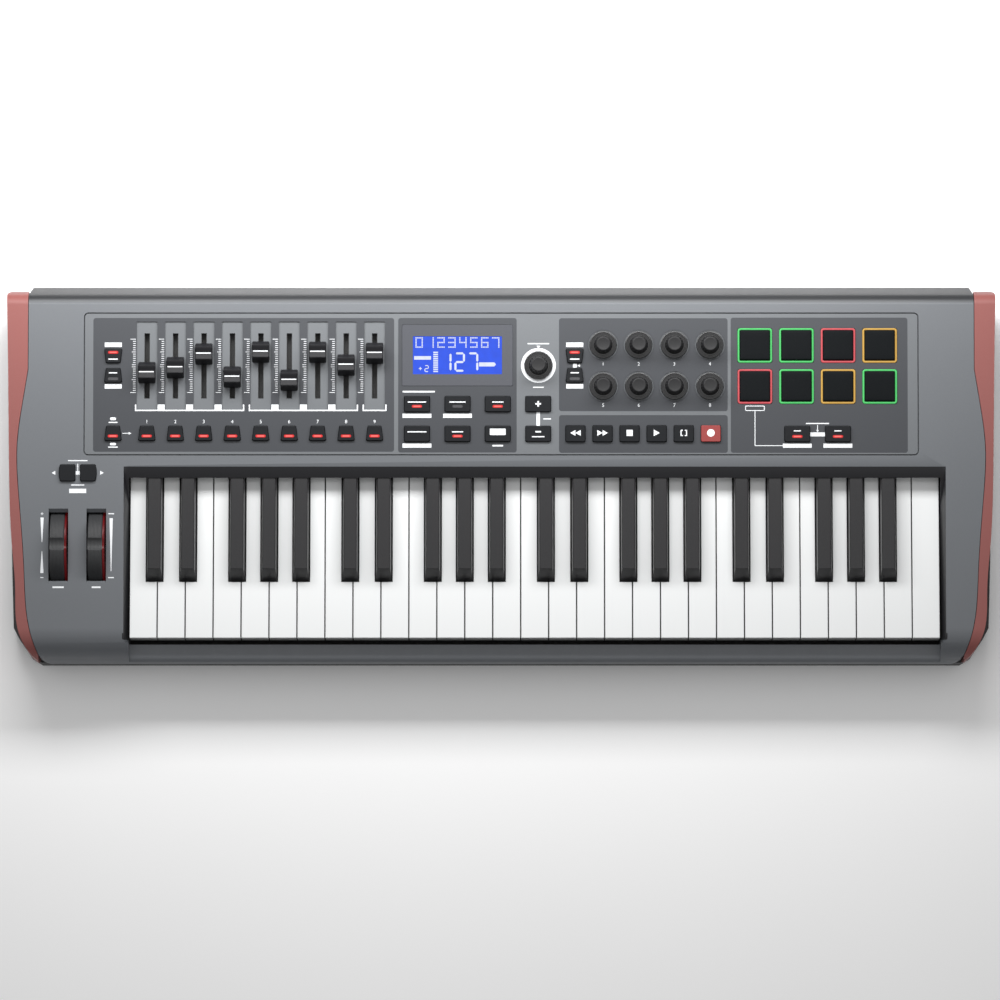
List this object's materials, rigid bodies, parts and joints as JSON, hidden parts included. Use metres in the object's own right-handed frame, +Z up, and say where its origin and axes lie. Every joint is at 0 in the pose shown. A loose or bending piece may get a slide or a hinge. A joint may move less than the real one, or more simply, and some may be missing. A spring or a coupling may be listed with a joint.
{
  "type": "midi keyboard",
  "caption": "Desktop controller keyboard with piano keys, faders, rotary knobs, drum pads, transport buttons, a display and pitch and modulation wheels.",
  "frame": {"origin": "on the ground under the middle of the case", "axes": "+X from the bass keys to the treble keys, +Y to the rear, +Z up"},
  "size_m": [0.832, 0.316, 0.0997],
  "materials": {
    "key_white": "smooth gloss",
    "key_black": "fine satin",
    "cap_black": "satin",
    "knob_black": "soft-touch with a glossier rim",
    "wheel_black": "ribbed soft-touch",
    "pad_rubber": "fine matte rubber",
    "button_black": "satin",
    "case_grey": "fine textured",
    "case_black": "textured",
    "cheek_red": "soft satin",
    "panel_grey": "satin with darker printed fields",
    "window_dark": "gloss",
    "screen_blue": "backlit display",
    "chassis_black": "moulded",
    "steel": "bright",
    "board_green": "solder mask",
    "socket_metal": "plated",
    "socket_black": "moulded",
    "foot_rubber": "matte rubber",
    "light_guide": "translucent, lit from below"
  },
  "bodies": {
    "case": {"top_case": "case_grey", "bottom_case": "case_black", "left_end_cheek": "cheek_red", "right_end_cheek": "cheek_red", "control_panel": "panel_grey", "display_window": "window_dark", "display_module": "screen_blue", "keybed_chassis": "chassis_black", "key_pivot_rod": "steel", "key_springs": "steel", "key_contact_board": "board_green", "control_board": "board_green", "main_board": "board_green", "usb_socket": "socket_metal", "midi_sockets": "socket_black", "pedal_jacks": "socket_black", "rubber_feet": "foot_rubber", "case_screws": "steel", "fader_bodies": "chassis_black", "encoder_bodies": "chassis_black", "pad_light_frames": "light_guide", "wheel_cradle": "chassis_black"},
    "keys_c": {"keys_c": "key_white"},
    "keys_c_sharp": {"keys_c_sharp": "key_black"},
    "keys_d": {"keys_d": "key_white"},
    "keys_d_sharp": {"keys_d_sharp": "key_black"},
    "keys_e": {"keys_e": "key_white"},
    "keys_f": {"keys_f": "key_white"},
    "keys_f_sharp": {"keys_f_sharp": "key_black"},
    "keys_g": {"keys_g": "key_white"},
    "keys_g_sharp": {"keys_g_sharp": "key_black"},
    "keys_a": {"keys_a": "key_white"},
    "keys_a_sharp": {"keys_a_sharp": "key_black"},
    "keys_b": {"keys_b": "key_white"},
    "fader_cap_1": {"fader_cap_1": "cap_black"},
    "fader_cap_2": {"fader_cap_2": "cap_black"},
    "fader_cap_3": {"fader_cap_3": "cap_black"},
    "fader_cap_4": {"fader_cap_4": "cap_black"},
    "fader_cap_5": {"fader_cap_5": "cap_black"},
    "fader_cap_6": {"fader_cap_6": "cap_black"},
    "fader_cap_7": {"fader_cap_7": "cap_black"},
    "fader_cap_8": {"fader_cap_8": "cap_black"},
    "fader_cap_9": {"fader_cap_9": "cap_black"},
    "knob_1": {"knob_1": "knob_black"},
    "knob_2": {"knob_2": "knob_black"},
    "knob_3": {"knob_3": "knob_black"},
    "knob_4": {"knob_4": "knob_black"},
    "knob_5": {"knob_5": "knob_black"},
    "knob_6": {"knob_6": "knob_black"},
    "knob_7": {"knob_7": "knob_black"},
    "knob_8": {"knob_8": "knob_black"},
    "data_knob": {"data_knob": "knob_black"},
    "pitch_wheel": {"pitch_wheel": "wheel_black"},
    "mod_wheel": {"mod_wheel": "wheel_black"},
    "drum_pads": {"drum_pads": "pad_rubber"},
    "fader_buttons": {"fader_buttons": "button_black"},
    "mode_buttons": {"mode_buttons": "button_black"},
    "edit_buttons": {"edit_buttons": "button_black"},
    "transport_buttons": {"transport_buttons": "button_black"},
    "octave_buttons": {"octave_buttons": "button_black"}
  },
  "joints": [
    {"name": "keys_c_press", "type": "hinge", "parent": "case", "child": "keys_c", "pos_m": [0, 0.04, 0.045], "axis": [1, 0, 0], "range_deg": [0, 3.21], "stiffness_Nm_per_rad": 4.5, "springref_deg": -3.21, "deforming": ["key_springs"]},
    {"name": "keys_c_sharp_press", "type": "hinge", "parent": "case", "child": "keys_c_sharp", "pos_m": [0, 0.04, 0.045], "axis": [1, 0, 0], "range_deg": [0, 3.21], "stiffness_Nm_per_rad": 2.4, "springref_deg": -3.21},
    {"name": "pitch_wheel_turn", "type": "hinge", "parent": "case", "child": "pitch_wheel", "pos_m": [0, -0.0619, 0.04974], "axis": [1, 0, 0], "range_deg": [-35, 35], "stiffness_Nm_per_rad": 0.08},
    {"name": "mod_wheel_turn", "type": "hinge", "parent": "case", "child": "mod_wheel", "pos_m": [0, -0.0619, 0.04974], "axis": [1, 0, 0], "range_deg": [-35, 35]},
    {"name": "fader_1_slide", "type": "slide", "parent": "case", "child": "fader_cap_1", "axis": [0, 0.9969, 0.0785], "range_m": [-0.0167, 0.0283]},
    {"name": "fader_6_slide", "type": "slide", "parent": "case", "child": "fader_cap_6", "axis": [0, 0.9969, 0.0785], "range_m": [-0.0103, 0.0347]},
    {"name": "drum_pads_press", "type": "slide", "parent": "case", "child": "drum_pads", "axis": [0, 0.0785, -0.9969], "range_m": [0, 0.001], "stiffness_N_per_m": 2500, "springref_m": -0.001},
    {"name": "fader_buttons_press", "type": "slide", "parent": "case", "child": "fader_buttons", "axis": [0, 0.0785, -0.9969], "range_m": [0, 0.001], "stiffness_N_per_m": 800, "springref_m": -0.001},
    {"name": "mode_buttons_press", "type": "slide", "parent": "case", "child": "mode_buttons", "axis": [0, 0.0785, -0.9969], "range_m": [0, 0.001], "stiffness_N_per_m": 600, "springref_m": -0.001},
    {"name": "edit_buttons_press", "type": "slide", "parent": "case", "child": "edit_buttons", "axis": [0, 0.0785, -0.9969], "range_m": [0, 0.001], "stiffness_N_per_m": 800, "springref_m": -0.001},
    {"name": "transport_buttons_press", "type": "slide", "parent": "case", "child": "transport_buttons", "axis": [0, 0.0785, -0.9969], "range_m": [0, 0.001], "stiffness_N_per_m": 600, "springref_m": -0.001},
    {"name": "octave_buttons_press", "type": "slide", "parent": "case", "child": "octave_buttons", "axis": [0, 0.0785, -0.9969], "range_m": [0, 0.001], "stiffness_N_per_m": 300, "springref_m": -0.001},
    {"name": "data_knob_turn", "type": "hinge", "parent": "case", "child": "data_knob", "pos_m": [0.0313, 0.08922, 0.08313], "axis": [0, -0.0785, 0.9969], "continuous": true},
    {"name": "knob_1_turn", "type": "hinge", "parent": "case", "child": "knob_1", "pos_m": [0.0857, 0.10647, 0.08449], "axis": [0, -0.0785, 0.9969], "continuous": true},
    {"name": "keys_d_press", "type": "hinge", "parent": "case", "child": "keys_d", "pos_m": [0, 0.04, 0.045], "axis": [1, 0, 0], "range_deg": [0, 3.21], "stiffness_Nm_per_rad": 3.6, "springref_deg": -3.21},
    {"name": "keys_d_sharp_press", "type": "hinge", "parent": "case", "child": "keys_d_sharp", "pos_m": [0, 0.04, 0.045], "axis": [1, 0, 0], "range_deg": [0, 3.21], "stiffness_Nm_per_rad": 2.4, "springref_deg": -3.21},
    {"name": "keys_e_press", "type": "hinge", "parent": "case", "child": "keys_e", "pos_m": [0, 0.04, 0.045], "axis": [1, 0, 0], "range_deg": [0, 3.21], "stiffness_Nm_per_rad": 3.6, "springref_deg": -3.21},
    {"name": "keys_f_press", "type": "hinge", "parent": "case", "child": "keys_f", "pos_m": [0, 0.04, 0.045], "axis": [1, 0, 0], "range_deg": [0, 3.21], "stiffness_Nm_per_rad": 3.6, "springref_deg": -3.21},
    {"name": "keys_f_sharp_press", "type": "hinge", "parent": "case", "child": "keys_f_sharp", "pos_m": [0, 0.04, 0.045], "axis": [1, 0, 0], "range_deg": [0, 3.21], "stiffness_Nm_per_rad": 2.4, "springref_deg": -3.21},
    {"name": "keys_g_press", "type": "hinge", "parent": "case", "child": "keys_g", "pos_m": [0, 0.04, 0.045], "axis": [1, 0, 0], "range_deg": [0, 3.21], "stiffness_Nm_per_rad": 3.6, "springref_deg": -3.21},
    {"name": "keys_g_sharp_press", "type": "hinge", "parent": "case", "child": "keys_g_sharp", "pos_m": [0, 0.04, 0.045], "axis": [1, 0, 0], "range_deg": [0, 3.21], "stiffness_Nm_per_rad": 2.4, "springref_deg": -3.21},
    {"name": "keys_a_press", "type": "hinge", "parent": "case", "child": "keys_a", "pos_m": [0, 0.04, 0.045], "axis": [1, 0, 0], "range_deg": [0, 3.21], "stiffness_Nm_per_rad": 3.6, "springref_deg": -3.21},
    {"name": "keys_a_sharp_press", "type": "hinge", "parent": "case", "child": "keys_a_sharp", "pos_m": [0, 0.04, 0.045], "axis": [1, 0, 0], "range_deg": [0, 3.21], "stiffness_Nm_per_rad": 2.4, "springref_deg": -3.21},
    {"name": "keys_b_press", "type": "hinge", "parent": "case", "child": "keys_b", "pos_m": [0, 0.04, 0.045], "axis": [1, 0, 0], "range_deg": [0, 3.21], "stiffness_Nm_per_rad": 3.6, "springref_deg": -3.21},
    {"name": "fader_2_slide", "type": "slide", "parent": "case", "child": "fader_cap_2", "axis": [0, 0.9969, 0.0785], "range_m": [-0.0209, 0.0241]},
    {"name": "fader_3_slide", "type": "slide", "parent": "case", "child": "fader_cap_3", "axis": [0, 0.9969, 0.0785], "range_m": [-0.0324, 0.0126]},
    {"name": "fader_4_slide", "type": "slide", "parent": "case", "child": "fader_cap_4", "axis": [0, 0.9969, 0.0785], "range_m": [-0.013, 0.032]},
    {"name": "fader_5_slide", "type": "slide", "parent": "case", "child": "fader_cap_5", "axis": [0, 0.9969, 0.0785], "range_m": [-0.0341, 0.0109]},
    {"name": "fader_7_slide", "type": "slide", "parent": "case", "child": "fader_cap_7", "axis": [0, 0.9969, 0.0785], "range_m": [-0.0339, 0.0111]},
    {"name": "fader_8_slide", "type": "slide", "parent": "case", "child": "fader_cap_8", "axis": [0, 0.9969, 0.0785], "range_m": [-0.0231, 0.0219]},
    {"name": "fader_9_slide", "type": "slide", "parent": "case", "child": "fader_cap_9", "axis": [0, 0.9969, 0.0785], "range_m": [-0.033, 0.012]},
    {"name": "knob_2_turn", "type": "hinge", "parent": "case", "child": "knob_2", "pos_m": [0.11563, 0.10647, 0.08449], "axis": [0, -0.0785, 0.9969], "continuous": true},
    {"name": "knob_3_turn", "type": "hinge", "parent": "case", "child": "knob_3", "pos_m": [0.14556, 0.10647, 0.08449], "axis": [0, -0.0785, 0.9969], "continuous": true},
    {"name": "knob_4_turn", "type": "hinge", "parent": "case", "child": "knob_4", "pos_m": [0.17549, 0.10647, 0.08449], "axis": [0, -0.0785, 0.9969], "continuous": true},
    {"name": "knob_5_turn", "type": "hinge", "parent": "case", "child": "knob_5", "pos_m": [0.0857, 0.07178, 0.08176], "axis": [0, -0.0785, 0.9969], "continuous": true},
    {"name": "knob_6_turn", "type": "hinge", "parent": "case", "child": "knob_6", "pos_m": [0.11563, 0.07178, 0.08176], "axis": [0, -0.0785, 0.9969], "continuous": true},
    {"name": "knob_7_turn", "type": "hinge", "parent": "case", "child": "knob_7", "pos_m": [0.14556, 0.07178, 0.08176], "axis": [0, -0.0785, 0.9969], "continuous": true},
    {"name": "knob_8_turn", "type": "hinge", "parent": "case", "child": "knob_8", "pos_m": [0.17549, 0.07178, 0.08176], "axis": [0, -0.0785, 0.9969], "continuous": true}
  ]
}
